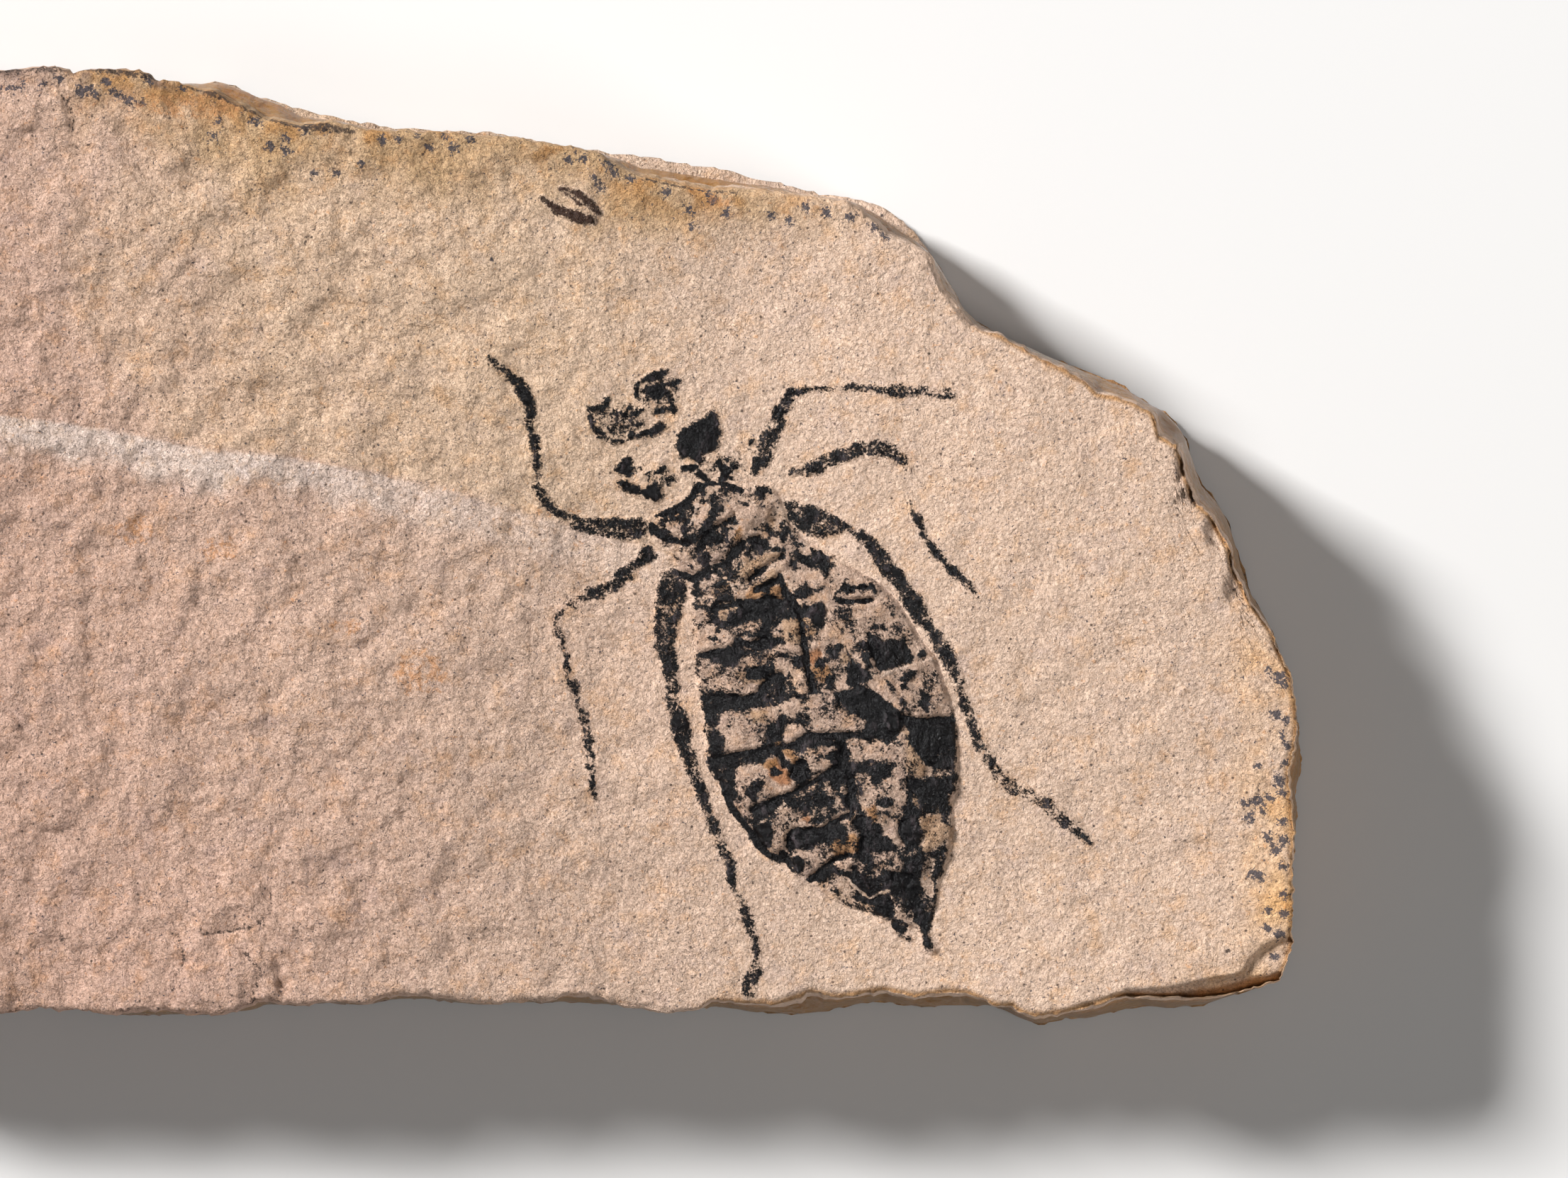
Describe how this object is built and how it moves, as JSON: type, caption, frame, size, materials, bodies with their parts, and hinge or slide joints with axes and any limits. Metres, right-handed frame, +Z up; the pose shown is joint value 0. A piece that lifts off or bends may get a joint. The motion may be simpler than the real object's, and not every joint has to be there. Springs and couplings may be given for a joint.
{
  "type": "fossil dragonfly nymph on a stone slab",
  "caption": "Flattened black dragonfly nymph fossil lying on a broken slab of pale limestone, whose beds are bonded by a clear brown resin layer.",
  "frame": {"origin": "on the ground under the middle of the slab's bounding box", "axes": "+X along the slab's length, towards the right-hand broken edge; +Y towards the nymph's head end of the slab; +Z up, out of the face that carries the nymph"},
  "size_m": [0.0568, 0.0342, 0.0071],
  "materials": {
    "limestone": "dull, finely granular split face, pale pinkish cream with ochre stains",
    "resin": "glossy clear honey-brown resin",
    "cuticle_film": "carbonised black film, satin with glossy spots and ragged edges",
    "shell": "dark brown, satin"
  },
  "bodies": {
    "root": {"backing_plate": "limestone", "resin_layer": "resin", "fossil_plate": "limestone", "nymph_body": "cuticle_film", "head_plate": "cuticle_film", "left_eye": "cuticle_film", "right_eye": "cuticle_film", "mask_leaf": "cuticle_film", "mask_blade": "cuticle_film", "left_front_leg": "cuticle_film", "left_middle_leg": "cuticle_film", "left_hind_leg": "cuticle_film", "right_front_leg": "cuticle_film", "right_middle_leg": "cuticle_film", "right_hind_leg": "cuticle_film", "shell_fragment": "shell"}
  },
  "joints": []
}
